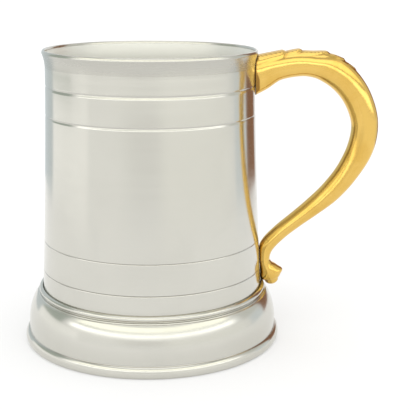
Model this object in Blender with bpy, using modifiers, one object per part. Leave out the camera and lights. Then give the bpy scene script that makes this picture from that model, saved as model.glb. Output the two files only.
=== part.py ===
"""One-pint pewter tankard with a cast brass handle.

The tankard is built the way a pewtersmith builds it: a spun barrel, a floor disc let into
the barrel, a hollow spun foot, a half-round wire that hides the seam between barrel and foot,
and a cast handle. Soft solder joins them. +Z is up, the handle reaches out along +X, and the
tankard stands on z = 0. All sizes are in metres.
"""
import math

import bmesh
import bpy
from mathutils import Vector

# --- Barrel ---------------------------------------------------------------------------------
LIP_HEIGHT = 0.1207          # from the table to the top of the lip
LIP_RADIUS = 0.0442          # outside, at the lip
WAIST_RADIUS = 0.04245       # outside, at the narrowest place, just under the flared lip
BASE_RADIUS = 0.0459         # outside, where the barrel goes into the foot
WALL = 0.0013
FLARE_HEIGHT = 0.0068        # the lip flares over this height
FLARE_POWER = 2.4            # how late the flare turns outwards
TAPER_POWER = 1.35           # how late the barrel spreads towards its base
SEAT_HEIGHT = 0.0230         # where the outside of the barrel meets the seam wire
BARREL_END = 0.0140          # height of the barrel's hidden lower edge
LINE_WIDTH = 0.0008          # turned lines: width and depth of each groove
LINE_DEPTH = 0.0003
LINES_BELOW_LIP = (0.0139, 0.0258)
LINES_ABOVE_SEAT = (0.0202, 0.0077)

# --- Floor ----------------------------------------------------------------------------------
FLOOR_HEIGHT = 0.0180        # top face of the floor, above the table
FLOOR_THICKNESS = 0.0013
FLANGE_DEPTH = 0.0032        # turned-down edge of the floor, outside

# --- Foot -----------------------------------------------------------------------------------
FOOT_WALL = 0.0013
FOOT_SPREAD = 0.0062         # the foot's swell stands out this far from the barrel's base
COLLAR_WIDTH = 0.0021        # top edge of the foot, from the barrel outwards
COLLAR_DEPTH = 0.0024        # how far the foot's collar grips the barrel
SWELL_HEIGHT = 0.0075        # where the foot's swell is widest
SWELL_SWEEP = math.radians(61)
RIM_SPREAD = 0.00165         # the rolled rim stands out this far from the swell
RIM_HEIGHT = 0.0019          # where the rolled rim is widest
RIM_ROLL = 0.0029            # depth of the roll's upper side, inwards from its widest place
RIM_RISE = 0.0045            # height of the roll's upper side above its widest place
RIM_TUCK = 0.0012            # how far the roll's lower side turns in
HEM_WIDTH = 0.0045           # flat ring that the tankard stands on

# --- Seam wire ------------------------------------------------------------------------------
BEAD_HEIGHT = 0.0023
BEAD_WIDTH = 0.0014

# --- Handle ---------------------------------------------------------------------------------
HANDLE_REACH = 0.0943        # from the tankard's axis to the outside of the handle
HANDLE_WIDTH = 0.0120        # across, at the upper joint
HANDLE_DEPTH = 0.0111        # through the bow, from inside to outside
HANDLE_TOP_DROP = 0.0097     # middle of the upper joint, below the lip
HANDLE_LOW_RISE = 0.0100     # middle of the lower joint, above the seam wire
LEAF_RISE = 0.0009           # height of the scalloped leaf edge on the handle's back
LEAF_LOBES = ((0.118, 0.021), (0.162, 0.021), (0.222, 0.030), (0.266, 0.019))
# The handle's middle line in three stretches: the root at the upper joint, the bow, and the toe
# at the lower joint. In the root and the toe each row is: how far out from the barrel's side,
# how far above the joint, then the depth and width there as shares of the handle's own. In the
# bow the first two are shares of the way from the barrel's side to the bow's widest place, and
# of the rise from the lower to the upper joint.
HANDLE_ROOT = (
    (-0.00505, -0.00234, 1.55, 1.00),
    (0.00172, -0.00023, 1.33, 1.00),
)
HANDLE_BOW = (
    (0.191, 1.030, 1.03, 1.00),
    (0.359, 1.047, 0.97, 0.98),
    (0.502, 1.044, 0.94, 0.96),
    (0.653, 1.023, 1.07, 0.94),
    (0.808, 0.959, 1.08, 0.92),
    (0.931, 0.859, 1.04, 0.90),
    (1.000, 0.730, 1.00, 0.88),
    (0.968, 0.594, 0.99, 0.86),
    (0.849, 0.462, 0.88, 0.83),
    (0.700, 0.358, 0.81, 0.80),
    (0.536, 0.277, 0.70, 0.76),
    (0.373, 0.206, 0.61, 0.72),
    (0.211, 0.134, 0.58, 0.68),
)
HANDLE_TOE = (
    (0.00374, 0.00480, 0.56, 0.66),
    (0.00213, -0.00040, 0.44, 0.66),
    (0.00290, -0.00370, 0.47, 0.70),
    (0.00450, -0.00690, 0.74, 0.74),
    (0.00470, -0.00970, 0.65, 0.66),
    (0.00435, -0.01200, 0.315, 0.34),
)

# --- Joints ---------------------------------------------------------------------------------
CLEARANCE = 0.0003           # between any two pieces that touch
SOLDER = 0.0004              # thickness of the solder under the handle
SOLDER_LEG = 0.0013          # legs of the solder rings inside the foot
UPPER_PAD = (0.0085, 0.0120)  # solder under the upper joint: width, height
LOWER_PAD = (0.0046, 0.0080)

# --- Fineness -------------------------------------------------------------------------------
STEPS = 64                   # facets round each turned piece
RING_POINTS = 18             # points round the handle's section
RINGS_PER_SPAN = 5           # handle sections between two points of its middle line
SQUARENESS = 2.7             # handle section: 2 is an ellipse, more is squarer

FOOT_RADIUS = BASE_RADIUS + FOOT_SPREAD
RIM_RADIUS = FOOT_RADIUS + RIM_SPREAD
FOOT_TOP = SEAT_HEIGHT - BEAD_HEIGHT - CLEARANCE
HANDLE_GAP = 2 * CLEARANCE + SOLDER
UPPER_JOINT = LIP_HEIGHT - HANDLE_TOP_DROP
LOWER_JOINT = SEAT_HEIGHT + HANDLE_LOW_RISE
# The model's origin is the middle of its outline on the table, so the axis stands off it.
AXIS_X = -(HANDLE_REACH - RIM_RADIUS) / 2


def remove_everything():
    """Empty the scene."""
    for thing in list(bpy.data.objects):
        bpy.data.objects.remove(thing, do_unlink=True)


def new_collection(name):
    """Make a collection in the scene."""
    group = bpy.data.collections.new(name)
    bpy.context.scene.collection.children.link(group)
    return group


def metal(name, colour, roughness):
    """Make a plain metal material."""
    material = bpy.data.materials.new(name)
    material.use_nodes = True
    shader = material.node_tree.nodes["Principled BSDF"]
    shader.inputs["Base Color"].default_value = (*colour, 1.0)
    shader.inputs["Roughness"].default_value = roughness
    shader.inputs["Metallic"].default_value = 1.0
    return material


def add_object(name, mesh, group, axis):
    """Put a mesh in the scene, placed on the tankard's axis."""
    thing = bpy.data.objects.new(name, mesh)
    group.objects.link(thing)
    thing.parent = axis
    return thing


def turned(name, profile, group, axis, closed=True):
    """Spin a profile of (radius, height) points, which runs down its outer side."""
    rim = bmesh.new()
    points = [rim.verts.new((radius, 0.0, height)) for radius, height in profile]
    ends = points[1:] + points[:1] if closed else points[1:]
    for start, end in zip(points, ends):
        rim.edges.new((start, end))
    mesh = bpy.data.meshes.new(name)
    rim.to_mesh(mesh)
    rim.free()
    thing = add_object(name, mesh, group, axis)
    screw = thing.modifiers.new("Spin", "SCREW")
    screw.steps = STEPS
    screw.render_steps = STEPS
    screw.use_merge_vertices = True
    screw.merge_threshold = 0.00001
    screw.use_smooth_shade = True
    return thing


def combine(thing, cutter, operation):
    """Cut a piece with a cutter, or keep only what they share."""
    boolean = thing.modifiers.new(operation.title(), "BOOLEAN")
    boolean.operation = operation
    boolean.object = cutter
    boolean.solver = "EXACT"


def spread(low, high, count):
    """Return count evenly spaced values from low to high."""
    return [low + (high - low) * i / (count - 1) for i in range(count)]


def arc(centre, half_width, half_height, start, end, count):
    """Return points on an ellipse from one angle to another, in (radius, height)."""
    return [(centre[0] + half_width * math.cos(angle), centre[1] + half_height * math.sin(angle))
            for angle in spread(start, end, count)]


def barrel_radius(height):
    """Outside radius of the barrel: straight in the foot, a slow taper, then the flared lip."""
    flare_start = LIP_HEIGHT - FLARE_HEIGHT
    if height >= flare_start:
        rise = (height - flare_start) / FLARE_HEIGHT
        return WAIST_RADIUS + (LIP_RADIUS - WAIST_RADIUS) * rise ** FLARE_POWER
    drop = (flare_start - max(height, SEAT_HEIGHT)) / (flare_start - SEAT_HEIGHT)
    return WAIST_RADIUS + (BASE_RADIUS - WAIST_RADIUS) * drop ** TAPER_POWER


def line_heights():
    """Heights of the turned lines, from the top one down."""
    upper = [LIP_HEIGHT - drop for drop in LINES_BELOW_LIP]
    lower = [SEAT_HEIGHT + rise for rise in LINES_ABOVE_SEAT]
    return upper + lower


def barrel_outside():
    """The barrel's outer side from the lip down, with a V groove at each turned line."""
    lip = LIP_HEIGHT - WALL / 2
    flare_start = LIP_HEIGHT - FLARE_HEIGHT
    heights = spread(lip, flare_start, 5)
    for line in line_heights():
        heights.append(line + LINE_WIDTH / 2)
        heights.append(line)
        heights.append(line - LINE_WIDTH / 2)
        heights.append(line - LINE_WIDTH / 2 - (line - SEAT_HEIGHT) * 0.3)
    heights.append(SEAT_HEIGHT)
    heights.append(BARREL_END)
    grooves = line_heights()
    return [(barrel_radius(z) - (LINE_DEPTH if z in grooves else 0.0), z)
            for z in sorted(heights, reverse=True)]


def barrel_inside():
    """The barrel's inner side from its lower edge up to the lip."""
    flare_start = LIP_HEIGHT - FLARE_HEIGHT
    heights = [BARREL_END] + spread(SEAT_HEIGHT, flare_start, 6)
    heights += spread(flare_start, LIP_HEIGHT - WALL / 2, 4)[1:]
    return [(barrel_radius(z) - WALL, z) for z in heights]


def make_barrel(group, axis):
    """Spun barrel: an open tube with a flared, rounded lip."""
    lip = LIP_HEIGHT - WALL / 2
    middle = (barrel_radius(lip) - WALL / 2, lip)
    edge = arc(middle, WALL / 2, WALL / 2, math.pi, 0.0, 5)[1:-1]
    return turned("barrel", edge + barrel_outside() + barrel_inside(), group, axis)


def make_floor(group, axis):
    """Floor disc with a turned-down flange that fits inside the barrel."""
    outside = barrel_radius(BARREL_END) - WALL - CLEARANCE
    inside = outside - FLOOR_THICKNESS
    shoulder = FLOOR_THICKNESS / 2
    under = FLOOR_HEIGHT - FLOOR_THICKNESS
    profile = [(0.0, FLOOR_HEIGHT), (outside - shoulder, FLOOR_HEIGHT)]
    profile += [(outside, FLOOR_HEIGHT - shoulder), (outside, FLOOR_HEIGHT - FLANGE_DEPTH)]
    profile += [(inside, FLOOR_HEIGHT - FLANGE_DEPTH), (inside, under), (0.0, under)]
    return turned("floor_disc", profile, group, axis, closed=False)


def swell(inset, sweep, count):
    """The foot's swell from its top down, moved inwards by an inset along its normal."""
    collar = BASE_RADIUS + COLLAR_WIDTH
    half_width = (FOOT_RADIUS - collar) / (1 - math.cos(SWELL_SWEEP))
    half_height = (FOOT_TOP - SWELL_HEIGHT) / math.sin(SWELL_SWEEP)
    points = []
    for angle in spread(sweep, 0.0, count):
        across = half_height * math.cos(angle)
        up = half_width * math.sin(angle)
        share = inset / math.hypot(across, up)
        points.append((FOOT_RADIUS - half_width * (1 - math.cos(angle)) - across * share,
                       SWELL_HEIGHT + half_height * math.sin(angle) - up * share))
    return points


def make_foot(group, axis):
    """Hollow spun foot: a collar on the barrel, a swell, a rolled rim and a flat hem."""
    bore = BASE_RADIUS + CLEARANCE
    upper = (RIM_RADIUS - RIM_ROLL, RIM_HEIGHT)
    lower = (RIM_RADIUS - RIM_TUCK, RIM_HEIGHT)
    crease = math.acos(1 - RIM_SPREAD / RIM_ROLL)
    outside = [(bore, FOOT_TOP)] + swell(0.0, SWELL_SWEEP, 8)
    outside += arc(upper, RIM_ROLL, RIM_RISE, crease, 0.0, 5)
    outside += arc(lower, RIM_TUCK, RIM_HEIGHT, 0.0, -math.pi / 2, 4)[1:]
    hem = lower[0] - HEM_WIDTH
    lining = FOOT_RADIUS - FOOT_WALL
    inside = [(hem, 0.0), (hem, FOOT_WALL), (lining, FOOT_WALL)]
    inside += reversed(swell(FOOT_WALL, SWELL_SWEEP * 0.8, 6))
    inside += [(bore, FOOT_TOP - COLLAR_DEPTH)]
    return turned("foot", outside + inside, group, axis)


def make_seam_bead(group, axis):
    """Half-round wire on the joint between the barrel and the foot."""
    inner = BASE_RADIUS + CLEARANCE
    middle = (inner, SEAT_HEIGHT - BEAD_HEIGHT / 2)
    profile = arc(middle, BEAD_WIDTH, BEAD_HEIGHT / 2, math.pi / 2, -math.pi / 2, 7)
    return turned("seam_bead", profile, group, axis)


def make_seam_solder(group, axis):
    """The two solder rings that hold the floor and the foot to the barrel."""
    outer = barrel_radius(BARREL_END) - WALL - CLEARANCE
    top = FLOOR_HEIGHT - FLANGE_DEPTH - CLEARANCE
    floor = [(outer - SOLDER_LEG, top), (outer, top), (outer, top - SOLDER_LEG)]
    inner = BASE_RADIUS + CLEARANCE
    under = FOOT_TOP - COLLAR_DEPTH - CLEARANCE
    foot = [(inner, under), (inner + SOLDER_LEG, under), (inner, under - SOLDER_LEG)]
    return [turned("floor_seam_solder", floor, group, axis),
            turned("foot_seam_solder", foot, group, axis)]


def between(before, start, end, after, share):
    """A smooth curve through start and end, led by their neighbours (Catmull-Rom)."""
    values = []
    for a, b, c, d in zip(before, start, end, after):
        slope_b = (c - a) / 2
        slope_c = (d - b) / 2
        cubed = 2 * b - 2 * c + slope_b + slope_c
        squared = 3 * c - 3 * b - 2 * slope_b - slope_c
        values.append(((cubed * share + squared) * share + slope_b) * share + b)
    return values


def handle_keys(stretch, place):
    """Keys of one stretch of the middle line: (outwards, height, half depth, half width)."""
    return [(*place(out, up), depth * HANDLE_DEPTH / 2, width * HANDLE_WIDTH / 2)
            for out, up, depth, width in stretch]


def near_joint(joint):
    """How to place a key measured from a joint: out from the barrel's side, and up."""
    return lambda out, up: (barrel_radius(joint + up) + out, joint + up)


def on_bow(out, up):
    """Place a key of the bow: shares of its reach and of the rise between the joints."""
    height = LOWER_JOINT + up * (UPPER_JOINT - LOWER_JOINT)
    side = barrel_radius(height)
    return side + out * (HANDLE_REACH - HANDLE_DEPTH / 2 - side), height


def handle_line():
    """Sections along the handle: (outwards, height, half depth, half width, share of length)."""
    keys = handle_keys(HANDLE_ROOT, near_joint(UPPER_JOINT))
    keys += handle_keys(HANDLE_BOW, on_bow)
    keys += handle_keys(HANDLE_TOE, near_joint(LOWER_JOINT))
    padded = [keys[0]] + keys + [keys[-1]]
    spans = len(keys) - 1
    sections = []
    for index in range(spans):
        for step in range(RINGS_PER_SPAN):
            sections.append(between(*padded[index:index + 4], step / RINGS_PER_SPAN))
    sections.append(list(keys[-1]))
    travelled = [0.0]
    for last, here in zip(sections, sections[1:]):
        travelled.append(travelled[-1] + math.hypot(here[0] - last[0], here[1] - last[1]))
    return [(*section, way / travelled[-1]) for section, way in zip(sections, travelled)]


def leaf_edge(share):
    """Height of the scalloped leaf above the handle's back: four rounded lobes."""
    lobes = [1 - ((share - middle) / half) ** 2 for middle, half in LEAF_LOBES]
    return LEAF_RISE * max(0.0, *lobes)


def handle_ring(section, ahead):
    """Points of one squarish section, square to the middle line."""
    out, height, half_depth, half_width, share = section
    along = Vector(ahead).normalized()
    across = Vector((along.y, -along.x)) * -1
    ring = []
    for index in range(RING_POINTS):
        angle = 2 * math.pi * index / RING_POINTS
        side = math.cos(angle)
        back = math.sin(angle)
        size = (abs(side) ** SQUARENESS + abs(back) ** SQUARENESS) ** (-1 / SQUARENESS)
        depth = size * back * (half_depth + (leaf_edge(share) if back > 0.5 else 0.0))
        middle = Vector((out, height)) + across * depth
        ring.append((middle.x, size * side * half_width, middle.y))
    return ring


def make_handle(group, axis, cutter):
    """Cast handle: squarish sections carried along its middle line, ends closed."""
    sections = handle_line()
    last = len(sections) - 1
    cage = bmesh.new()
    rings = []
    for index, section in enumerate(sections):
        start = sections[max(index - 1, 0)]
        end = sections[min(index + 1, last)]
        ring = handle_ring(section, (end[0] - start[0], end[1] - start[1]))
        rings.append([cage.verts.new(point) for point in ring])
    for ring, after in zip(rings, rings[1:]):
        for index in range(RING_POINTS):
            turn = (index + 1) % RING_POINTS
            cage.faces.new((ring[index], ring[turn], after[turn], after[index]))
    cage.faces.new(reversed(rings[0]))
    cage.faces.new(rings[-1])
    bmesh.ops.recalc_face_normals(cage, faces=cage.faces)
    mesh = bpy.data.meshes.new("handle")
    cage.to_mesh(mesh)
    cage.free()
    mesh.shade_smooth()
    thing = add_object("handle", mesh, group, axis)
    combine(thing, cutter, "DIFFERENCE")
    return thing


def make_barrel_cutter(cutters, axis):
    """The barrel's outside plus the handle's gap: it shapes the handle's two seats."""
    heights = spread(LIP_HEIGHT + WALL, 0.0, 14)
    top = [(0.0, heights[0])]
    side = [(barrel_radius(min(z, LIP_HEIGHT)) + HANDLE_GAP, z) for z in heights]
    cutter = turned("barrel_cutter", top + side + [(0.0, 0.0)], cutters, axis, closed=False)
    return hide(cutter)


def hide(cutter):
    """Show a cutter as wires only."""
    cutter.hide_render = True
    cutter.display_type = "WIRE"
    return cutter


def make_pad(name, middle, size, group, cutters, axis):
    """Film of solder under the handle: a patch of a tube round the barrel."""
    width, height = size
    heights = spread(middle + height, middle - height, 5)
    outside = [(barrel_radius(z) + CLEARANCE + SOLDER, z) for z in heights]
    inside = [(barrel_radius(z) + CLEARANCE, z) for z in reversed(heights)]
    pad = turned(name, outside + inside, group, axis)
    box = bmesh.new()
    bmesh.ops.create_cube(box, size=1.0)
    bmesh.ops.scale(box, vec=(BASE_RADIUS, width, height), verts=box.verts)
    bmesh.ops.translate(box, vec=(BASE_RADIUS, 0.0, middle), verts=box.verts)
    mesh = bpy.data.meshes.new(name + "_cutter")
    box.to_mesh(mesh)
    box.free()
    cutter = hide(add_object(name + "_cutter", mesh, cutters, axis))
    combine(pad, cutter, "INTERSECT")
    return pad


def main():
    """Build the tankard."""
    remove_everything()
    group = new_collection("pewter_tankard")
    cutters = new_collection("cutters")
    axis = bpy.data.objects.new("tankard_axis", None)
    group.objects.link(axis)
    axis.location = (AXIS_X, 0.0, 0.0)

    barrel_cutter = make_barrel_cutter(cutters, axis)
    pewter = [make_barrel(group, axis), make_floor(group, axis), make_foot(group, axis),
              make_seam_bead(group, axis)]
    brass = [make_handle(group, axis, barrel_cutter)]
    solder = make_seam_solder(group, axis)
    solder.append(make_pad("upper_handle_solder", UPPER_JOINT, UPPER_PAD, group, cutters, axis))
    solder.append(make_pad("lower_handle_solder", LOWER_JOINT, LOWER_PAD, group, cutters, axis))
    finishes = ((pewter, "pewter", (0.62, 0.61, 0.58), 0.22),
                (brass, "brass", (0.83, 0.58, 0.20), 0.20),
                (solder, "solder", (0.50, 0.50, 0.49), 0.45))
    for pieces, finish, colour, roughness in finishes:
        for piece in pieces:
            piece.data.materials.append(metal(f"{piece.name}_{finish}", colour, roughness))


main()
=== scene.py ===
"""Pewter tankard with a gilt brass handle: the finished surfaces, materials and studio.

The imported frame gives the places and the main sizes, and the settings give the finer ones.
Each visible piece is a surface worked out with numpy: turned pieces are a profile carried round
the tankard's axis, and the handle is a squarish section carried along its own line. All sizes
are in metres and +Z is up.
"""

import math

import bmesh
import bpy
import numpy as np
from bpy.props import FloatProperty, FloatVectorProperty, PointerProperty
from mathutils import Matrix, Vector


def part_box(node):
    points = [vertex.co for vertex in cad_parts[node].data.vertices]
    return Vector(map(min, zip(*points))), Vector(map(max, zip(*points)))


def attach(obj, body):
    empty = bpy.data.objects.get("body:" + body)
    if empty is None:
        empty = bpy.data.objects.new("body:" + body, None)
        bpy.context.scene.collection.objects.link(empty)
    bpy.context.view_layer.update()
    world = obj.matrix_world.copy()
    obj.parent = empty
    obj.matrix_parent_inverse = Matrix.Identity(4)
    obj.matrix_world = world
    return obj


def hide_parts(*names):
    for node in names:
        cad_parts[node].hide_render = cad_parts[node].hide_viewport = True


bl_info = {
    "name": "Pewter Tankard",
    "version": (1, 0, 0),
    "blender": (4, 5, 0),
    "location": "3D View > Sidebar > Tankard",
    "description": "Builds the surfaces, finishes and studio of a pewter tankard",
    "category": "Add Mesh",
}

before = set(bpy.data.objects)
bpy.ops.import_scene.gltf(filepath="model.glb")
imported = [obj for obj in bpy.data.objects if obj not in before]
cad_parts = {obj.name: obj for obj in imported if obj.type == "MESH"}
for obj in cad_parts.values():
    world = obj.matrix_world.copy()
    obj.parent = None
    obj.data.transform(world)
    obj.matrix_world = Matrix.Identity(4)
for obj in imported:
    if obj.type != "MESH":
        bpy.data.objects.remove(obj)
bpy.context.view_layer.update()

BODY = "root"
STEPS = 288                  # columns round each turned piece
FINE_STEPS = 144             # columns round the small hidden rings
AROUND = 176                 # columns round the handle's section
ALONG = 460                  # rows along the handle
MERGE = 1e-7                 # rows that meet at a pole or a seam are merged within this


def middle(node):
    """Middle of a node's box, as an array."""
    low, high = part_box(node)
    return (np.array(low) + np.array(high)) / 2


def reach(node):
    """Half of a node's width along Y: the outside radius of a turned piece."""
    low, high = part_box(node)
    return (high.y - low.y) / 2


# --- What the frame says ----------------------------------------------------------------------
AXIS = middle("foot")[:2]
LIP_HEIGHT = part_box("barrel")[1].z
BARREL_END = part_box("barrel")[0].z
BASE_RADIUS = reach("barrel")
SEAT_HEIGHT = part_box("seam_bead")[1].z
BEAD_HEIGHT = SEAT_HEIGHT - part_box("seam_bead")[0].z
BEAD_RADIUS = reach("seam_bead")
FOOT_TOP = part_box("foot")[1].z
RIM_RADIUS = reach("foot")
FLOOR_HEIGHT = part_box("floor_disc")[1].z
FLOOR_RADIUS = reach("floor_disc")
FLANGE_DEPTH = FLOOR_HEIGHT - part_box("floor_disc")[0].z
HANDLE_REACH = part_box("handle")[1].x - AXIS[0]
HANDLE_WIDTH = 2 * reach("handle")
UPPER_JOINT = middle("upper_handle_solder")[2]
LOWER_JOINT = middle("lower_handle_solder")[2]

# --- What the frame leaves open ---------------------------------------------------------------
CLEARANCE = 0.0003           # between two pieces that touch
SNUG = 0.00004               # between the wire and the foot that it is pressed onto
HANDLE_GAP = 0.00022         # between the barrel and the handle's two seats
PAD_GAP = 0.00004            # between the solder film and the metal on each side of it
# The handle's middle line in three stretches. In the root and the toe each row is: how far out
# from the barrel's side, how far above the joint, then depth and width as shares of the
# handle's own. In the bow the first two are shares of the way from the barrel's side to the
# bow's widest place, and of the rise between the joints.
ROOT = (
    (-0.00505, -0.00234, 1.55, 1.00),
    (0.00172, -0.00023, 1.33, 1.00),
)
BOW = (
    (0.191, 1.030, 1.03, 1.00),
    (0.359, 1.047, 0.97, 0.98),
    (0.502, 1.044, 0.94, 0.96),
    (0.653, 1.023, 1.07, 0.94),
    (0.808, 0.959, 1.08, 0.92),
    (0.931, 0.859, 1.04, 0.90),
    (1.000, 0.730, 1.00, 0.88),
    (0.968, 0.594, 0.99, 0.86),
    (0.849, 0.462, 0.88, 0.83),
    (0.700, 0.358, 0.81, 0.80),
    (0.536, 0.277, 0.70, 0.76),
    (0.373, 0.206, 0.61, 0.72),
    (0.211, 0.134, 0.58, 0.68),
)
TOE = (
    (0.00374, 0.00480, 0.56, 0.66),
    (0.00213, -0.00040, 0.46, 0.66),
    (0.00270, -0.00360, 0.52, 0.70),
    (0.00410, -0.00640, 0.78, 0.74),
    (0.00485, -0.00880, 0.80, 0.70),
    (0.00510, -0.01000, 0.54, 0.52),
)
TOE_TIP = len(ROOT) + len(BOW) + 3.45   # place of the toe's curled point along the line


def length_setting(name, about, value, low, high):
    """A size in metres that can be changed between two limits."""
    return FloatProperty(name=name, description=about, default=value, min=low, max=high,
                         unit="LENGTH")


def number_setting(name, about, value, low, high):
    """A plain number that can be changed between two limits."""
    return FloatProperty(name=name, description=about, default=value, min=low, max=high)


def roughness_setting(name, about, value):
    """A roughness that can be changed from mirror bright to matt."""
    return FloatProperty(name=name, description=about, default=value, min=0.02, max=0.8,
                         subtype="FACTOR")


def colour_setting(name, about, red, green, blue):
    """A colour that can be changed."""
    return FloatVectorProperty(name=name, description=about, default=(red, green, blue),
                               min=0.0, max=1.0, subtype="COLOR")


class BarrelSizes(bpy.types.PropertyGroup):
    """Sizes of the barrel."""
    lip_radius: length_setting("Lip radius", "Outside radius at the lip", 0.0442, 0.03, 0.06)
    waist_radius: length_setting("Waist radius", "Outside radius under the lip", 0.04245, 0.03, 0.06)
    wall: length_setting("Wall", "Thickness of the pewter", 0.0013, 0.0005, 0.004)
    flare_height: length_setting("Flare height", "The lip flares over this", 0.0068, 0.001, 0.02)
    flare_power: number_setting("Flare power", "How late the flare turns out", 2.4, 1.0, 6.0)
    taper_power: number_setting("Taper power", "How late the barrel spreads", 1.35, 0.5, 4.0)
    line_depth: length_setting("Line depth", "Depth of the turned lines", 0.00026, 0.0, 0.0006)


class FootSizes(bpy.types.PropertyGroup):
    """Sizes of the foot."""
    swell_height: length_setting("Swell height", "Where the swell is widest", 0.0075, 0.002, 0.015)
    collar_width: length_setting("Collar width", "Top edge of the foot", 0.0021, 0.0005, 0.004)
    rim_spread: length_setting("Rim spread", "Rolled rim beyond the swell", 0.00165, 0.0, 0.003)
    rim_height: length_setting("Rim height", "Where the rolled rim is widest", 0.0019, 0.0005, 0.004)
    rim_rise: length_setting("Rim rise", "Height of the roll's upper side", 0.0029, 0.001, 0.008)
    rim_roll: length_setting("Rim roll", "Depth of the roll's upper side", 0.0021, 0.001, 0.005)
    hem_width: length_setting("Hem width", "Flat ring that stands on the table", 0.0045, 0.001, 0.008)


class HandleSizes(bpy.types.PropertyGroup):
    """Sizes of the handle."""
    depth: length_setting("Depth", "Through the bow, inside to outside", 0.0111, 0.004, 0.02)
    leaf_rise: length_setting("Leaf rise", "Height of the leaf on the back", 0.0009, 0.0, 0.002)
    vein_depth: length_setting("Vein depth", "Depth of the leaf's veins", 0.00025, 0.0, 0.001)


class FinishColours(bpy.types.PropertyGroup):
    """Colours and polish of the metals."""
    pewter: colour_setting("Pewter", "Clean pewter", 0.622, 0.612, 0.558)
    pewter_dull: colour_setting("Dull pewter", "Tarnish on the pewter", 0.515, 0.505, 0.460)
    pewter_grime: colour_setting("Pewter grime", "Grime in the pewter's hollows", 0.20, 0.19, 0.16)
    satin: colour_setting("Satin", "Oxide inside the barrel", 0.735, 0.730, 0.675)
    brass: colour_setting("Brass", "Clean gilt brass", 0.785, 0.518, 0.138)
    brass_dull: colour_setting("Dull brass", "Tarnish on the brass", 0.600, 0.345, 0.050)
    # Brass grime also paints the shade behind the leaf's tips and edges and in the upper joint's
    # wedge.
    brass_grime_and_shade: colour_setting("Brass grime", "Grime in the brass's hollows", 0.20, 0.085, 0.015)
    solder: colour_setting("Solder", "Soft solder", 0.47, 0.465, 0.44)
    pewter_roughness: roughness_setting("Pewter roughness", "Polish of the pewter", 0.15)
    brass_roughness: roughness_setting("Brass roughness", "Polish of the brass", 0.10)


class StageLook(bpy.types.PropertyGroup):
    """The studio round the tankard."""
    floor: colour_setting("Floor", "Colour of the floor", 0.52, 0.52, 0.518)
    floor_glow: number_setting("Floor glow", "Light through the floor's sheet", 0.33, 0.0, 2.0)
    dome: number_setting("Dome", "Brightness of the studio's soft ceiling", 1.0, 0.0, 5.0)
    lens: number_setting("Lens", "Focal length of the camera, in millimetres", 88.2, 20.0, 300.0)


class TankardSettings(bpy.types.PropertyGroup):
    """All the tankard's settings."""
    barrel: PointerProperty(type=BarrelSizes)
    foot: PointerProperty(type=FootSizes)
    handle: PointerProperty(type=HandleSizes)
    finish: PointerProperty(type=FinishColours)
    stage: PointerProperty(type=StageLook)


# --- Surfaces ---------------------------------------------------------------------------------
def smooth_step(low, high, value):
    """0 below low, 1 above high, and the cubic 3t^2 - 2t^3 between them."""
    share = np.clip((value - low) / (high - low), 0.0, 1.0)
    return share * share * (3.0 - 2.0 * share)


def bump(middle_at, half, value):
    """A rounded bump: (1 - t^2)^2 where t is the distance from the middle over the half width."""
    share = np.clip(np.abs(value - middle_at) / half, 0.0, 1.0)
    return (1.0 - share * share) ** 2


def skin(name, points, closed_rows, **marks):
    """Make a mesh object from a grid of points[row, column], closed round its columns.

    The face between rows i and i + 1 and columns j and j + 1 has its corners in the order
    (i, j), (i, j + 1), (i + 1, j + 1), (i + 1, j). With closed_rows the last row joins the
    first. Marks are values per point, kept as attributes that the materials read.
    """
    rows, columns = points.shape[:2]
    spans = rows if closed_rows else rows - 1
    row, column = np.meshgrid(np.arange(spans), np.arange(columns), indexing="ij")
    after_row = (row + 1) % rows
    after_column = (column + 1) % columns
    corners = np.stack([row * columns + column, row * columns + after_column,
                        after_row * columns + after_column, after_row * columns + column], -1)
    mesh = bpy.data.meshes.new(name)
    mesh.from_pydata(points.reshape(-1, 3), [], corners.reshape(-1, 4))
    along = np.stack([row, row, row + 1, row + 1], -1) / spans
    round_ = np.stack([column, column + 1, column + 1, column], -1) / columns
    layer = mesh.uv_layers.new(name="Surface")
    layer.uv.foreach_set("vector", np.stack([along, round_], -1).ravel().astype(np.float32))
    for mark, values in marks.items():
        attribute = mesh.attributes.new(mark, "FLOAT", "POINT")
        full = np.broadcast_to(values, (rows, columns)).astype(np.float32)
        attribute.data.foreach_set("value", np.ascontiguousarray(full).ravel())
    merge(mesh)
    mesh.shade_smooth()
    thing = bpy.data.objects.new(name, mesh)
    bpy.context.scene.collection.objects.link(thing)
    return thing


def merge(mesh):
    """Merge the points that lie on a pole or a seam, and drop the faces that vanish."""
    shape = bmesh.new()
    shape.from_mesh(mesh)
    bmesh.ops.remove_doubles(shape, verts=shape.verts, dist=MERGE)
    bmesh.ops.dissolve_degenerate(shape, edges=shape.edges, dist=MERGE / 10)
    shape.to_mesh(mesh)
    shape.free()


def lathe(name, profile, closed=True, steps=STEPS, **marks):
    """Turn a profile of (radius, height) rows round the tankard's axis.

    A point is axis + (r cos t, r sin t) at height z, for t from 0 to a full turn. The profile
    runs down the outside and up the inside, so that the faces point out of the metal.
    """
    radius, height = np.asarray(profile, float).T
    turn = np.linspace(0.0, 2 * math.pi, steps, endpoint=False)
    points = np.stack([AXIS[0] + radius[:, None] * np.cos(turn),
                       AXIS[1] + radius[:, None] * np.sin(turn),
                       np.repeat(height[:, None], steps, axis=1)], -1)
    marks = {mark: np.asarray(values, float)[:, None] for mark, values in marks.items()}
    return skin(name, points[::-1], closed, **{k: v[::-1] for k, v in marks.items()})


def arc(centre, half_width, half_height, start, end, count):
    """Points on an ellipse from one angle to another, as (radius, height) rows."""
    angle = np.linspace(start, end, count)
    return np.stack([centre[0] + half_width * np.cos(angle),
                     centre[1] + half_height * np.sin(angle)], -1)


def cove(start, end, count):
    """Points after a start to an end, along a quarter ellipse that leaves the start upright."""
    turn = np.linspace(0.0, math.pi / 2, count)[1:, None]
    return start + (end - start) * np.concatenate([1.0 - np.cos(turn), np.sin(turn)], -1)


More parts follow.
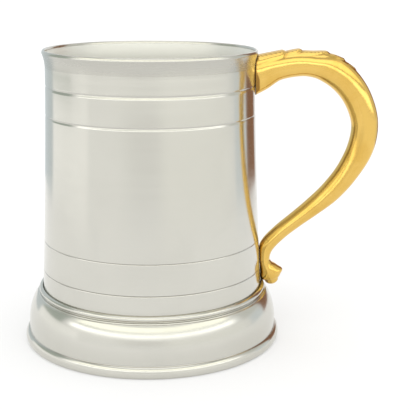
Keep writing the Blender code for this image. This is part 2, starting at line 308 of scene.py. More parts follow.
def rows(*stretches):
    """Join stretches of (radius, height) rows into one profile."""
    return np.concatenate([np.asarray(stretch, float).reshape(-1, 2) for stretch in stretches])


# --- Barrel -----------------------------------------------------------------------------------
FLARE_KINK = 0.22            # share of the flare that starts at once, as a crisp bend
LIP_ROUND = 0.0012           # height over which the lip's edge is rounded
LINE_MARGIN = 1.3            # the close rows of a line run this many half widths each way
LIP_WEAR = 0.3               # how dull the lip's edge is worn
FLARE_WEAR = (-0.0001, 0.0002)   # the flare is dull from the one height to the other, and above
INSIDE_DARKENING = 0.3           # the inside is darker towards the bottom
SEAT_GRIME = 0.10            # grime on the barrel over the wire
SEAT_GRIME_FADE = 0.0004     # height over which it fades


def barrel_radius(sizes, height):
    """Outside radius of the barrel at a height, without its lines.

    Above the flare's start it is waist + (lip - waist) (k u + (1 - k) u^flare_power), u the
    share of the flare climbed and k its crisp start. Below, it is
    waist + (base - waist) d^taper_power, d the share of the way down to the seam wire. Inside
    the foot it is straight.
    """
    flare_start = LIP_HEIGHT - sizes.flare_height
    rise = np.clip((height - flare_start) / sizes.flare_height, 0.0, None)
    drop = (flare_start - np.clip(height, SEAT_HEIGHT, flare_start)) / (flare_start - SEAT_HEIGHT)
    curve = FLARE_KINK * rise + (1.0 - FLARE_KINK) * rise ** sizes.flare_power
    flare = (sizes.lip_radius - sizes.waist_radius) * curve
    taper = (BASE_RADIUS - sizes.waist_radius) * drop ** sizes.taper_power
    return sizes.waist_radius + flare + taper


# Each turned line: height, width of its upper side, width of its lower side, its share of the
# full depth, and how much grime it holds.
LINES = (
    (LIP_HEIGHT - 0.0143, 0.00075, 0.00110, 0.74, 0.26),
    (LIP_HEIGHT - 0.0260, 0.00065, 0.00095, 0.58, 0.30),
    (SEAT_HEIGHT + 0.0200, 0.00036, 0.00032, 0.32, 0.75),
    (SEAT_HEIGHT + 0.0075, 0.00038, 0.00034, 0.38, 0.90),
)


def line_cut(height):
    """Depth of the turned lines at a height, as a share: a steep side above a softer one."""
    cut = np.zeros_like(height)
    for at, above, below, share, _ in LINES:
        half = np.where(height > at, above, below)
        cut = np.maximum(cut, share * (1.0 - smooth_step(0.0, 1.0, np.abs(height - at) / half)))
    return cut


def barrel_profile(sizes):
    """The barrel's profile and its marks: lip, outside down to the foot, and inside."""
    wall = sizes.wall
    lip = LIP_HEIGHT - LIP_ROUND
    lip_middle = (float(barrel_radius(sizes, lip)) - wall / 2, lip)
    edge = arc(lip_middle, wall / 2, LIP_ROUND, math.pi, 0.0, 25)[1:-1]
    flare_start = LIP_HEIGHT - sizes.flare_height
    spans = [np.linspace(lip, flare_start, 26)]
    for at, above, below, _, _ in LINES:
        spans.append(np.linspace(at + LINE_MARGIN * above, at - LINE_MARGIN * below, 19))
    spans.append(np.linspace(flare_start, SEAT_HEIGHT, 60))
    spans.append(np.linspace(SEAT_HEIGHT, BARREL_END, 6))
    down = np.unique(np.round(np.concatenate(spans), 6))[::-1]
    up = np.concatenate([np.linspace(BARREL_END, flare_start, 30)[:-1],
                         np.linspace(flare_start, lip, 20)])
    cut = line_cut(down)
    outside = np.stack([barrel_radius(sizes, down) - sizes.line_depth * cut, down], -1)
    inside = np.stack([barrel_radius(sizes, up) - wall, up], -1)
    over_seat = np.clip(down - SEAT_HEIGHT, 0.0, None)
    near_seat = SEAT_GRIME * np.exp(-over_seat / SEAT_GRIME_FADE)
    grime = np.zeros_like(down)
    for at, above, _, _, share in LINES:
        grime = np.maximum(grime, share * bump(at + 0.3 * above, 0.0001 + 0.7 * above, down))
    hollow = np.concatenate([np.zeros(len(edge)), np.maximum(grime, near_seat),
                             smooth_step(LIP_HEIGHT, FLOOR_HEIGHT, up) * INSIDE_DARKENING])
    worn = np.concatenate([np.full(len(edge), LIP_WEAR),
                           smooth_step(*FLARE_WEAR, down - flare_start), np.zeros(len(up))])
    inner = np.concatenate([np.zeros(len(edge) + len(down)), np.ones(len(up))])
    return rows(edge, outside, inside), {"hollow": hollow, "worn": worn, "inner": inner}


# --- Foot -------------------------------------------------------------------------------------
SWELL_SWEEP = math.radians(61)    # how much of the ellipse the swell takes up
RIM_TUCK = 0.0012            # how far the rolled rim turns under
COLLAR_DEPTH = 0.0024        # how far the foot's collar grips the barrel
COVE = 0.0003                # the small hollow curve between the wire and the swell
CREASE_GRIME = 0.30          # grime in the crease over the rolled rim
CREASE_GRIME_SPREAD = 0.0007     # how far it spreads up and down


def swell(sizes, foot_radius, inset, sweep, count):
    """The foot's swell from its top down, moved inwards by an inset along its normal.

    It is an arc of an ellipse about a point level with the swell's widest place: at angle a it
    is at (foot_radius - w (1 - cos a), swell_height + h sin a).
    """
    collar = BASE_RADIUS + sizes.collar_width
    half_width = (foot_radius - collar) / (1 - math.cos(SWELL_SWEEP))
    half_height = (FOOT_TOP - sizes.swell_height) / math.sin(SWELL_SWEEP)
    angle = np.linspace(sweep, 0.0, count)
    across = half_height * np.cos(angle)
    up = half_width * np.sin(angle)
    share = inset / np.hypot(across, up)
    return np.stack([foot_radius - half_width * (1 - np.cos(angle)) - across * share,
                     sizes.swell_height + half_height * np.sin(angle) - up * share], -1)


def foot_profile(sizes, wall):
    """The foot's profile and its marks: collar, swell, rolled rim, hem and lining."""
    bore = BASE_RADIUS + CLEARANCE
    foot_radius = RIM_RADIUS - sizes.rim_spread
    upper = (RIM_RADIUS - sizes.rim_roll, sizes.rim_height)
    lower = (RIM_RADIUS - RIM_TUCK, sizes.rim_height)
    crease = math.acos(1 - sizes.rim_spread / sizes.rim_roll)
    hem = lower[0] - sizes.hem_width
    lining = foot_radius - wall
    collar = BASE_RADIUS + sizes.collar_width
    ledge = np.stack([np.linspace(bore, collar - COVE, 8), np.full(8, FOOT_TOP)], -1)
    outer = swell(sizes, foot_radius, 0.0, SWELL_SWEEP, 60)
    outer = outer[outer[:, 1] < FOOT_TOP - COVE]
    join = cove(ledge[-1:], outer[:1], 8)
    crease_height = upper[1] + sizes.rim_rise * math.sin(crease)
    wall_height = np.linspace(outer[-1, 1], crease_height, 12)[1:-1]
    straight = np.stack([np.full(10, foot_radius), wall_height], -1)
    roll = arc(upper, sizes.rim_roll, sizes.rim_rise, crease, 0.0, 30)
    tuck = arc(lower, RIM_TUCK, sizes.rim_height, 0.0, -math.pi / 2, 14)[1:]
    flat = np.stack([np.linspace(lower[0], hem, 8)[1:], np.zeros(7)], -1)
    back = rows([(hem, wall * 0.5), (hem, wall), (lining, wall)])
    lining_up = swell(sizes, foot_radius, wall, SWELL_SWEEP * 0.8, 24)[::-1]
    neck_up = np.array([[bore, FOOT_TOP - COLLAR_DEPTH], [bore, FOOT_TOP - COLLAR_DEPTH / 2]])
    profile = rows(ledge, join, outer, straight, roll, tuck, flat, back, lining_up, neck_up)
    hollow = np.zeros(len(profile))
    outside = len(ledge) + len(join) + len(outer) + len(straight) + len(roll)
    hollow[:outside] = CREASE_GRIME * bump(crease_height, CREASE_GRIME_SPREAD,
                                           profile[:outside, 1])
    inner = np.zeros(len(profile))
    inner[outside + len(tuck):] = 1.0
    return profile, {"hollow": hollow, "inner": inner}


# --- Handle -----------------------------------------------------------------------------------
BOW_INSET = 0.0001           # the bow's widest place stays this far inside the frame's
SQUARE_ROOT = 2.45           # squareness of the section at the root: 2 is an ellipse
BOW_SQUARE = (-0.20, (0.05, 0.30))   # its change round the bow, and the span of the change
LOW_SQUARE = (-0.25, (0.35, 0.70))   # its change below the bow
POINT_RISE = 0.0011          # height of the toe's curled point
POINT_SPAN = 0.75            # keys that the point spans each way
SETTLE = 0.10                # share of the handle over which its rows are respaced at the root
TIP_LENGTH = 0.8             # length of the rounded tip, in radii of the last section
JOINT_GRIME = 0.0002         # how far grime stands out from the barrel in the joints
WEDGE_SHADE = 0.0012         # how much further the painted shade reaches at the widest of the upper joint's wedge
GRIME_FADE = 0.0005          # distance over which it fades
WEDGE_START = (-0.002, 0.003)    # drops below the upper joint where the wedge widens,
WEDGE_END = (0.006, 0.008)       # where it ends,
LOWER_PART = (0.02, 0.03)        # and where the lower joint is taken to begin
LOWER_CLEAN = 0.6            # share of the grime and painted shade that the lower joint lacks


def handle_keys(sizes, barrel):
    """Keys of the handle's middle line: radius, height, half depth and half width."""
    keys = []
    high, low = UPPER_JOINT, LOWER_JOINT
    widest = HANDLE_REACH - BOW_INSET - sizes.depth / 2
    for stretch, joint in ((ROOT, high), (BOW, None), (TOE, low)):
        for out, up, depth, width in stretch:
            height = low + up * (high - low) if joint is None else joint + up
            side = float(barrel_radius(barrel, height))
            radius = side + out * (widest - side) if joint is None else side + out
            keys.append((radius, height, depth * sizes.depth / 2, width * HANDLE_WIDTH / 2))
    return np.array(keys)


def spline(keys, place):
    """Smooth curve through keys at places from 0 to len(keys) - 1 (Catmull-Rom).

    Between keys b and c it is the cubic with slopes (c - a) / 2 at b and (d - b) / 2 at c,
    where a and d are their outer neighbours.
    """
    padded = np.concatenate([keys[:1], keys, keys[-1:]])
    index = np.minimum(place.astype(int), len(keys) - 2)
    share = (place - index)[..., None]
    a, b, c, d = (padded[index + shift] for shift in range(4))
    slope_b = (c - a) / 2
    slope_c = (d - b) / 2
    cubed = 2 * b - 2 * c + slope_b + slope_c
    squared = 3 * c - 3 * b - 2 * slope_b - slope_c
    return ((cubed * share + squared) * share + slope_b) * share + b


# Leaf lobes on the handle's back: where each starts and where its curled tip ends, as shares
# of the handle's length, how far round from the back its edge reaches at its start and at its
# tip, in degrees, and its height as a share of the leaf's rise.
LOBES = (
    (-0.060, 0.128, 66.0, 50.0, 1.00),
    (0.118, 0.168, 46.0, 34.0, 1.00),
    (0.160, 0.232, 50.0, 34.0, 0.90),
    (0.226, 0.270, 42.0, 26.0, 0.85),
    (0.264, 0.304, 34.0, 18.0, 0.55),
)
EDGE_FALL = (15.0, 4.0)      # a lobe's edge falls from this far inside to this far outside it
TIP_FALL = (0.007, 0.004)    # and so does its tip, in shares of the handle's length
TIP_ROUNDING = 0.010         # how far back the sides of a tip lie
TIP_SHADOW = 0.005           # painted shade lies behind a tip over twice this share
LEAF_END = (0.30, 0.31)      # the painted shade stops here
RIB_END = (0.24, 0.28)
VEIN_END = (0.22, 0.27)
RIB_WIDTH = 6.0              # half width of the middle groove, in degrees
VEIN_COUNT = 95.0            # veins in the handle's whole length
VEIN_LEAN = 0.05             # turns of lag in each degree away from the middle
VEIN_PLACE = (26.0, 24.0)    # middle and half width of the veins' band, in degrees
# Painted shade behind a curled tip and beside an edge, and grime in the groove and veins.
LEAF_SHADE_AND_GRIME = {"tip": 0.45, "edge": 0.14, "vein": 0.35}


def leaf_relief(along, turn, rise, vein):
    """Height of the leaf over the handle's section, and how dark it is painted there.

    Each lobe climbs slowly to its curled tip, as 0.12 + 0.88 c^1.6 at share c of the way, and drops
    steeply behind it, over the start of the next. Its edge lies a given angle round from the back. A
    groove runs down the middle, and veins run out from it as a sixth power of a sine wave. Painted
    shade darkens each lobe behind its curled tip and beside its edge, and grime darkens the groove
    and the veins.
    """
    away = np.abs(np.degrees(turn) - 90.0)
    away = np.where(away > 180.0, 360.0 - away, away)
    height = np.zeros(np.broadcast(along, turn).shape)
    shade = np.zeros_like(height)
    for start, end, wide, narrow, share in LOBES:
        climb = np.clip((along - start) / (end - start), 0.0, 1.0)
        reach_round = wide + (narrow - wide) * climb ** 2 - 12.0 * (1.0 - climb) ** 4
        plate = 1.0 - smooth_step(reach_round - EDGE_FALL[0], reach_round + EDGE_FALL[1], away)
        rounded = end - TIP_ROUNDING * (away / narrow) ** 2
        drop = 1.0 - smooth_step(rounded - TIP_FALL[0], rounded + TIP_FALL[1], along)
        curl = 0.12 + 0.88 * climb ** 1.6
        curl = np.where(along < start, 0.0, curl) * smooth_step(start, start + 0.02, along)
        height = np.maximum(height, share * curl * drop * plate)
        # Painted shade behind the curled tip and beside the lobe's edge.
        behind = bump(TIP_SHADOW, TIP_SHADOW, along - rounded)
        behind = behind * (away < reach_round + EDGE_FALL[1])
        flank = bump(4.0, 5.0, away - reach_round) * drop * smooth_step(0.0, 0.3, climb)
        lobe_shade = np.maximum(LEAF_SHADE_AND_GRIME["tip"] * behind * share, LEAF_SHADE_AND_GRIME["edge"] * flank)
        shade = np.maximum(shade, lobe_shade)
    shade = shade * (1.0 - smooth_step(*LEAF_END, along))
    rib = bump(0.0, RIB_WIDTH, away) * (1.0 - smooth_step(*RIB_END, along))
    fan = np.sin((along * VEIN_COUNT - away * VEIN_LEAN) * 2 * math.pi) * 0.5 + 0.5
    veins = fan ** 6 * bump(*VEIN_PLACE, away) * (1.0 - smooth_step(*VEIN_END, along))
    cut = np.maximum(rib, 0.6 * veins) * np.clip(height * 2.0, 0.0, 1.0)
    return rise * height - vein * cut, np.maximum(shade, LEAF_SHADE_AND_GRIME["vein"] * cut)


def toe_point(place, turn):
    """Height of the toe's curled outer point: a sharp bump on the outside, past the neck."""
    outside = np.clip(np.sin(turn), 0.0, 1.0) ** 3
    return POINT_RISE * bump(TOE_TIP, POINT_SPAN, place) ** 1.5 * outside


def seat_radius(barrel, height, side):
    """Distance from the axis plane to the seat at a height and a distance to one side."""
    radius = barrel_radius(barrel, np.minimum(height, LIP_HEIGHT)) + HANDLE_GAP
    return np.sqrt(radius ** 2 - side ** 2)


def handle_section(line, turn, squareness, relief):
    """Points of the handle's sections: middle + depth across the line, width along Y.

    A section is the curve |side|^n + |back|^n = 1 stretched to the half width and half depth,
    with the relief added along its normal.
    """
    out, height, half_depth, half_width = (line[..., i] for i in range(4))
    step_out = np.gradient(line[:, 0, 0])[:, None]
    step_up = np.gradient(line[:, 0, 1])[:, None]
    length = np.hypot(step_out, step_up)
    back_out, back_up = -step_up / length, step_out / length
    side, back = np.cos(turn), np.sin(turn)
    size = (np.abs(side) ** squareness + np.abs(back) ** squareness) ** (-1 / squareness)
    normal_side = np.sign(side) * np.abs(side * size) ** (squareness - 1) / half_width
    normal_back = np.sign(back) * np.abs(back * size) ** (squareness - 1) / half_depth
    normal = np.hypot(normal_side, normal_back)
    depth = size * back * half_depth + relief * normal_back / normal
    width = size * side * half_width + relief * normal_side / normal
    return np.stack([AXIS[0] + out + back_out * depth, AXIS[1] + width,
                     height + back_up * depth], -1)


def handle_points(sizes, barrel):
    """All the handle's points, row by row from the seat's middle to the tip, and its marks."""
    keys = handle_keys(sizes, barrel)
    place = np.linspace(0.0, len(keys) - 1.0, ALONG * 4)
    line = spline(keys, place)
    way = np.concatenate([[0.0], np.cumsum(np.hypot(*np.diff(line[:, :2], axis=0).T))])
    share = np.linspace(0.0, 1.0, ALONG)
    place = np.interp(share, way / way[-1], place)
    line = spline(keys, place)[:, None, :]
    along = share[:, None]
    turn = np.linspace(0.0, 2 * math.pi, AROUND, endpoint=False)[None, :]
    # hollow holds the leaf's painted shade and the grime in its groove and veins.
    relief, hollow = leaf_relief(along, turn, sizes.leaf_rise, sizes.vein_depth)
    relief = relief + toe_point(place[:, None], turn)
    squareness = SQUARE_ROOT
    for change, span in (BOW_SQUARE, LOW_SQUARE):
        squareness = squareness + change * smooth_step(*span, along)
    points = handle_section(line, turn, squareness, relief)
    return fit_seat(points, hollow, barrel)


def fit_seat(points, hollow, barrel):
    """Start every lengthwise line of the handle on its seat round the barrel, and close the ends.

    Each line's first rows are respaced between the place where it leaves the seat and row
    `settle`. Lines that pass into the barrel lower down are pushed out to the lower seat.
    """
    settle = int(SETTLE * ALONG)
    side = points[:settle, :, 1] - AXIS[1]
    away = points[:settle, :, 0] - AXIS[0] - seat_radius(barrel, points[:settle, :, 2], side)
    last_inside = settle - 1 - np.argmax(away[::-1] < 0.0, axis=0)
    column = np.arange(points.shape[1])
    before = away[last_inside, column]
    after = away[last_inside + 1, column]
    start = last_inside - before / (after - before)
    place = start + (settle - start) * (np.arange(settle)[:, None] / settle)
    whole = place.astype(int)
    part = (place - whole)[..., None]
    fitted = points.copy()
    fitted[:settle] = points[whole, column] * (1 - part) + points[whole + 1, column] * part
    hollow = hollow.copy()
    hollow[:settle] = hollow[whole, column]
    fitted = push_out(fitted, barrel)
    root = close_on_seat(fitted[0], barrel)
    tip = close_tip(fitted[-2], fitted[-1])
    # Add the joints' grime and the painted shade of the upper joint's wedge.
    hollow = np.maximum(hollow, joint_grime_and_shade(fitted, barrel))
    columns = hollow.shape[1]
    return (np.concatenate([root, fitted, tip]),
            np.concatenate([np.ones((len(root), columns)), hollow, np.zeros((len(tip), columns))]))


def joint_grime_and_shade(points, barrel):
    """Grime in the handle's joints: full at the barrel's side, and gone within half a millimetre. At
    the upper joint a wedge of painted shade, standing for the shadowed gap between the handle's end
    and the barrel, widens downwards, and the lower joint holds less.
    """
    near = points[..., 0] - AXIS[0] - seat_radius(barrel, points[..., 2], points[..., 1] - AXIS[1])
    near = np.clip(near, 0.0, None)
    drop = UPPER_JOINT - points[..., 2]
    wedge = smooth_step(*WEDGE_START, drop) * (1.0 - smooth_step(*WEDGE_END, drop))
    wedge = JOINT_GRIME + WEDGE_SHADE * wedge
    filled = 1.0 - smooth_step(wedge, wedge + GRIME_FADE, near)
    return filled * (1.0 - LOWER_CLEAN * smooth_step(*LOWER_PART, drop))


def push_out(points, barrel):
    """Move the points that lie inside the seat straight out from the axis onto it."""
    across = points[..., :2] - AXIS
    distance = np.hypot(across[..., 0], across[..., 1])
    seat = barrel_radius(barrel, np.minimum(points[..., 2], LIP_HEIGHT)) + HANDLE_GAP
    grow = np.maximum(1.0, seat / distance)
    moved = points.copy()
    moved[..., :2] = AXIS + across * grow[..., None]
    return moved


def close_on_seat(edge, barrel):
    """Rows from the seat's middle out to its edge, lying on the seat."""
    centre = edge.mean(axis=0)
    share = np.linspace(0.0, 1.0, 13)[:-1, None, None]
    flat = centre + (edge - centre) * share
    flat[..., 0] = AXIS[0] + seat_radius(barrel, flat[..., 2], flat[..., 1] - AXIS[1])
    return flat


def close_tip(before, last):
    """Rows that round the tip off: the section shrinks as cos t while it moves on as sin t."""
    centre = last.mean(axis=0)
    ahead = centre - before.mean(axis=0)
    ahead = ahead / np.linalg.norm(ahead)
    length = np.linalg.norm(last - centre, axis=1).mean() * TIP_LENGTH
    angle = np.linspace(0.0, math.pi / 2, 14)[1:, None, None]
    return centre + (last - centre) * np.cos(angle) + ahead * (length * np.sin(angle))


# --- Solder -----------------------------------------------------------------------------------
PAD_COLUMNS, PAD_ROWS = 96, 20
PAD_SQUARENESS = 4           # of the pillow's outline: 2 is an ellipse


def pad_points(barrel, node):
    """A pillow of solder on the barrel's side, as rows from its outer middle to its inner one.

    At share q of the way out and angle t it lies at y = W c(t) q and z = middle + H s(t) q,
    with (c, s) on a rounded square. Its outer side stands off by the film's thickness times
    (1 - q^6)^0.5 and its inner side lies close on the barrel.
    """
    low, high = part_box(node)
    half_width = (high.y - low.y) / 2
    half_height = (high.z - low.z) / 2
    film = HANDLE_GAP - 3 * PAD_GAP
    turn = np.linspace(0.0, 2 * math.pi, PAD_COLUMNS, endpoint=False)[None, :]
    c, s = np.cos(turn), np.sin(turn)
    size = (np.abs(c) ** PAD_SQUARENESS + np.abs(s) ** PAD_SQUARENESS) ** (-1 / PAD_SQUARENESS)
    # The pillow's edge is a little uneven, with two slow waves.
    size = size * (0.965 + 0.02 * np.sin(5 * turn + 1.0) + 0.015 * np.sin(11 * turn))
    out = np.sin(np.linspace(0.0, math.pi / 2, PAD_ROWS))[:, None]
    share = np.concatenate([out, out[::-1][1:]])
    outer = np.concatenate([np.ones(PAD_ROWS), np.zeros(PAD_ROWS - 1)])[:, None]
    side = -half_width * c * size * share
    height = (low.z + high.z) / 2 + half_height * s * size * share
    lift = PAD_GAP + film * outer * np.sqrt(1.0 - share ** 6)
    radius = barrel_radius(barrel, height) + lift
    return np.stack([AXIS[0] + np.sqrt(radius ** 2 - side ** 2),
                     AXIS[1] + side, height], -1)


def fillet_profile(corner, legs):
    """A hollow-faced fillet of solder: a corner, and a quarter circle between its two legs."""
    corner = np.array(corner)
    legs = np.array(legs)
    angle = np.linspace(0.0, math.pi / 2, 10)
    face = corner + legs * np.stack([1.0 - np.sin(angle), 1.0 - np.cos(angle)], -1)
    return np.concatenate([[corner], face])


# --- Nodes ------------------------------------------------------------------------------------
def feed(tree, made, wires):
    """Give a node's inputs their values or wires."""
    for socket, value in wires.items():
        if isinstance(value, bpy.types.NodeSocket):
            tree.links.new(value, made.inputs[socket])
        else:
            made.inputs[socket].default_value = value
    return made


def add(tree, kind, wires=None, **settings):
    """Add a node, set its settings, and feed its inputs."""
    made = tree.nodes.new(kind)
    for setting, value in settings.items():
        setattr(made, setting, value)
    return feed(tree, made, wires or {})


def maths(tree, operation, first, second=0.0, third=0.0, clamp=False):
    """Add a Math node and return its value."""
    made = add(tree, "ShaderNodeMath", {0: first, 1: second, 2: third},
               operation=operation, use_clamp=clamp)
    return made.outputs[0]


def blend(tree, share, first, second):
    """Mix two colours, all the first at share 0 and all the second at share 1."""
    made = add(tree, "ShaderNodeMix", {"Factor": share, "A": first, "B": second},
               data_type="RGBA")
    return made.outputs[2]


def ramp(tree, value, low, high):
    """Spread the values from low to high over 0 to 1, smoothly, and hold them outside."""
    made = add(tree, "ShaderNodeMapRange", {"Value": value, "From Min": low, "From Max": high},
               interpolation_type="SMOOTHSTEP")
    return made.outputs["Result"]


def new_group(name, inputs, outputs):
    """Make a shader node group with its sockets, and return it with its two end nodes."""
    tree = bpy.data.node_groups.new(name, "ShaderNodeTree")
    for label, kind, value in inputs:
        socket = tree.interface.new_socket(label, in_out="INPUT", socket_type=kind)
        if value is not None:
            socket.default_value = value
    for label, kind in outputs:
        tree.interface.new_socket(label, in_out="OUTPUT", socket_type=kind)
    return tree, tree.nodes.new("NodeGroupInput"), tree.nodes.new("NodeGroupOutput")


FLOAT, COLOUR, VECTOR = "NodeSocketFloat", "NodeSocketColor", "NodeSocketVector"


def turning_group():
    """Turning marks: fine rings left by the lathe, which follow the radius and the height."""
    tree, given, result = new_group(
        "Turning marks",
        [("Vector", VECTOR, None), ("Rings", FLOAT, 2600.0), ("Sweep", FLOAT, 1.2)],
        [("Height", FLOAT), ("Streak", FLOAT)])
    place = add(tree, "ShaderNodeSeparateXYZ", {0: given.outputs["Vector"]})
    flat = add(tree, "ShaderNodeCombineXYZ", {0: place.outputs[0], 1: place.outputs[1]})
    radius = add(tree, "ShaderNodeVectorMath", {0: flat.outputs[0]}, operation="LENGTH")
    bearing = add(tree, "ShaderNodeVectorMath", {0: flat.outputs[0]}, operation="NORMALIZE")
    bearing = add(tree, "ShaderNodeSeparateXYZ", {0: bearing.outputs[0]})
    sweep_x = maths(tree, "MULTIPLY", bearing.outputs[0], given.outputs["Sweep"])
    sweep_y = maths(tree, "MULTIPLY", bearing.outputs[1], given.outputs["Sweep"])
    heights = []
    for share, offset in ((1.0, 0.0), (0.17, 7.0)):
        rings = maths(tree, "MULTIPLY", given.outputs["Rings"], share)
        spread = add(tree, "ShaderNodeCombineXYZ", {
            0: maths(tree, "MULTIPLY", radius.outputs["Value"], rings),
            1: maths(tree, "MULTIPLY", place.outputs[2], rings), 2: sweep_x})
        noise = add(tree, "ShaderNodeTexNoise", {
            "Vector": spread.outputs[0], "W": maths(tree, "ADD", sweep_y, offset),
            "Scale": 1.0, "Detail": 2.0, "Roughness": 0.6}, noise_dimensions="4D")
        heights.append(noise.outputs["Fac"])
    height = maths(tree, "ADD", maths(tree, "MULTIPLY", heights[0], 0.5),
                   maths(tree, "MULTIPLY", heights[1], 0.5))
    feed(tree, result, {"Height": height, "Streak": ramp(tree, heights[1], 0.3, 0.7)})
    return tree


def patina_group():
    """Patina: soft clouds of tarnish and worn bands, and grime that stays in the hollows. On the
    handle the Hollow input also holds painted shade, which the Grime colour paints.
    """
    tree, given, result = new_group(
        "Patina",
        [("Vector", VECTOR, None), ("Clean", COLOUR, (0.6, 0.6, 0.6, 1.0)),
         ("Dull", COLOUR, (0.4, 0.4, 0.4, 1.0)), ("Grime", COLOUR, (0.1, 0.1, 0.1, 1.0)),
         ("Worn", FLOAT, 0.0), ("Hollow", FLOAT, 0.0), ("Clouds", FLOAT, 38.0),
         ("Amount", FLOAT, 0.25), ("In hollows", FLOAT, 0.8)],
        [("Colour", COLOUR), ("Mask", FLOAT)])
    clouds = add(tree, "ShaderNodeTexNoise", {
        "Vector": given.outputs["Vector"], "Scale": given.outputs["Clouds"],
        "Detail": 5.0, "Roughness": 0.55, "Distortion": 0.6})
    cloud = maths(tree, "MULTIPLY", ramp(tree, clouds.outputs["Fac"], 0.38, 0.72),
                  given.outputs["Amount"])
    dull = maths(tree, "ADD", cloud, given.outputs["Worn"], clamp=True)
    grime = maths(tree, "MULTIPLY", given.outputs["Hollow"], given.outputs["In hollows"])
    worn = blend(tree, dull, given.outputs["Clean"], given.outputs["Dull"])
    full = blend(tree, grime, worn, given.outputs["Grime"])
    feed(tree, result, {"Colour": full, "Mask": maths(tree, "MAXIMUM", dull, grime)})
    return tree


def scratch_group():
    """Hairline scratches from use: two sets of long thin noise, kept where it crosses a value."""
    tree, given, result = new_group(
        "Hairlines",
        [("Vector", VECTOR, None), ("Density", FLOAT, 140.0), ("Lean", FLOAT, 0.5)],
        [("Mask", FLOAT), ("Height", FLOAT)])
    masks = []
    for sign, stretch in ((1.0, 14.0), (-1.3, 22.0)):
        lean = maths(tree, "MULTIPLY", given.outputs["Lean"], sign)
        turn = add(tree, "ShaderNodeCombineXYZ", {0: lean, 1: lean, 2: sign})
        laid = add(tree, "ShaderNodeMapping", {
            "Vector": given.outputs["Vector"], "Rotation": turn.outputs[0],
            "Scale": (stretch, 1.0, stretch)})
        noise = add(tree, "ShaderNodeTexNoise", {
            "Vector": laid.outputs[0], "Scale": given.outputs["Density"],
            "Detail": 1.0, "Roughness": 0.4})
        off = maths(tree, "ABSOLUTE", maths(tree, "SUBTRACT", noise.outputs["Fac"], 0.62))
        masks.append(maths(tree, "SUBTRACT", 1.0, ramp(tree, off, 0.002, 0.012)))
    mask = maths(tree, "MAXIMUM", masks[0], masks[1])
    patches = add(tree, "ShaderNodeTexNoise", {
        "Vector": given.outputs["Vector"], "Scale": 60.0, "Detail": 2.0})
    mask = maths(tree, "MULTIPLY", mask, ramp(tree, patches.outputs["Fac"], 0.45, 0.65))
    feed(tree, result, {"Mask": mask, "Height": maths(tree, "SUBTRACT", 1.0, mask)})
    return tree


GROUPS = {"Turning marks": turning_group, "Patina": patina_group, "Hairlines": scratch_group}


def use_group(tree, name, wires):
    """Place one of the shared node groups, which is built the first time it is asked for."""
    shared = bpy.data.node_groups.get(name) or GROUPS[name]()
    made = add(tree, "ShaderNodeGroup", node_tree=shared, label=name)
    return feed(tree, made, wires).outputs


def new_metal(name):
    """A fully metallic material, its shader, and the coordinates centred on the axis."""
    material = bpy.data.materials.new(name)
    material.use_nodes = True
    tree = material.node_tree
    shader = tree.nodes["Principled BSDF"]
    feed(tree, shader, {"Metallic": 1.0, "IOR": 1.5})
    place = add(tree, "ShaderNodeTexCoord")
    centred = add(tree, "ShaderNodeMapping", {
        "Vector": place.outputs["Object"], "Location": (-AXIS[0], -AXIS[1], 0.0)})
    return material, tree, shader, centred.outputs[0]


def mark(tree, name):
    """A value that the piece carries at each point."""
    return add(tree, "ShaderNodeAttribute", attribute_name=name).outputs["Fac"]


def bump_chain(tree, *layers):
    """Lay height patterns over each other: each is a height and its depth in metres."""
    normal = None
    for height, depth in layers:
        wires = {"Height": height, "Distance": depth, "Strength": 1.0}
        if normal is not None:
            wires["Normal"] = normal
        normal = add(tree, "ShaderNodeBump", wires).outputs["Normal"]
    return normal


def finish_metal(tree, shader, colour, normal, roughness, *layers):
    """Wire a metal's colour, normal and roughness, which is more wherever each mask is 1."""
    for mask, amount in layers:
        roughness = maths(tree, "MULTIPLY_ADD", mask, amount, roughness)
    feed(tree, shader, {"Base Color": colour, "Normal": normal, "Roughness": roughness})


SATIN_LAYER = 0.55           # how much the dull oxide inside hides the bare metal
SOLDER_ROUGHNESS = 0.28
RING_DEPTH = 0.0000035       # depths of the fine patterns on the metals
PEWTER_SCRATCH_DEPTH = 0.000002
BRASS_SCRATCH_DEPTH = 0.000003
CASTING_DEPTH = 0.00009
RIPPLE_DEPTH = 0.00006


def pewter(name, finish, rings, rougher=0.0, inside=None):
    """Spun and polished pewter: lathe rings, hairlines, and tarnish in the hollows.

    `rougher` is what this piece adds to the finish's roughness. Where the piece's `inner` mark
    is 1 it is left duller, as the inside of a tankard is, and `inside` rougher still.
    """
    material, tree, shader, place = new_metal(name)
    turning = use_group(tree, "Turning marks", {"Vector": place, "Rings": rings})
    lines = use_group(tree, "Hairlines", {"Vector": place})
    patina = use_group(tree, "Patina", {
        "Vector": place, "Clean": (*finish.pewter, 1.0), "Dull": (*finish.pewter_dull, 1.0),
        "Grime": (*finish.pewter_grime, 1.0), "Worn": mark(tree, "worn"),
        "Hollow": mark(tree, "hollow"), "Amount": 0.22, "In hollows": 0.85})
    layers = [(turning["Streak"], 0.035), (lines["Mask"], 0.05), (patina["Mask"], 0.10)]
    colour = patina["Colour"]
    if inside is not None:
        inner = mark(tree, "inner")
        layers.append((inner, inside))
        colour = blend(tree, inner, colour, (*finish.satin, 1.0))
        feed(tree, shader, {"Metallic": maths(tree, "MULTIPLY_ADD", inner, -SATIN_LAYER, 1.0)})
    normal = bump_chain(tree, (turning["Height"], RING_DEPTH),
                        (lines["Height"], PEWTER_SCRATCH_DEPTH))
    finish_metal(tree, shader, colour, normal, finish.pewter_roughness + rougher, *layers)
    tangent = add(tree, "ShaderNodeTangent", direction_type="UV_MAP", uv_map="Surface")
    feed(tree, shader, {"Tangent": tangent.outputs[0], "Anisotropic": 0.55})
    return material


